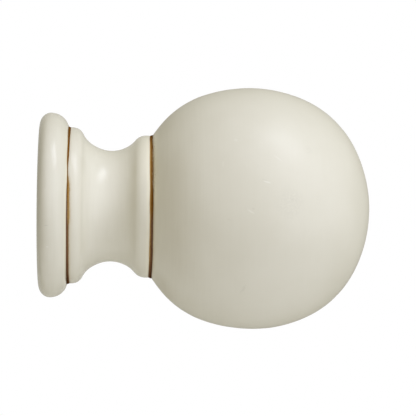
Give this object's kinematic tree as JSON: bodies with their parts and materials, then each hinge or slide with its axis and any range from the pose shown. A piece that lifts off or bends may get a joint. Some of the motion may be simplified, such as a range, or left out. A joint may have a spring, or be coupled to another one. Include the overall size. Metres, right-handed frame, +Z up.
{
  "type": "ball finial",
  "caption": "Turned wooden ball finial with a waisted neck and a beaded base, for the end of a round curtain pole.",
  "frame": {"origin": "centre of the flat base face, on the turning axis", "axes": "+X along the turning axis from the base face to the tip of the ball, +Z up as the finial sits on a level pole"},
  "size_m": [0.1166, 0.085, 0.085],
  "materials": {
    "cream_paint": "cream satin paint over turned wood, with faint rubbed streaks and a few pale scuffs",
    "gilt": "old-gold gilding paint in the quirks, patchy, from dark brown to bright gold",
    "plated_steel": "zinc-plated steel, dull"
  },
  "bodies": {
    "root": {"turned_body": "cream_paint", "base_gilt_line": "gilt", "neck_gilt_line": "gilt", "threaded_insert": "plated_steel"}
  },
  "joints": []
}
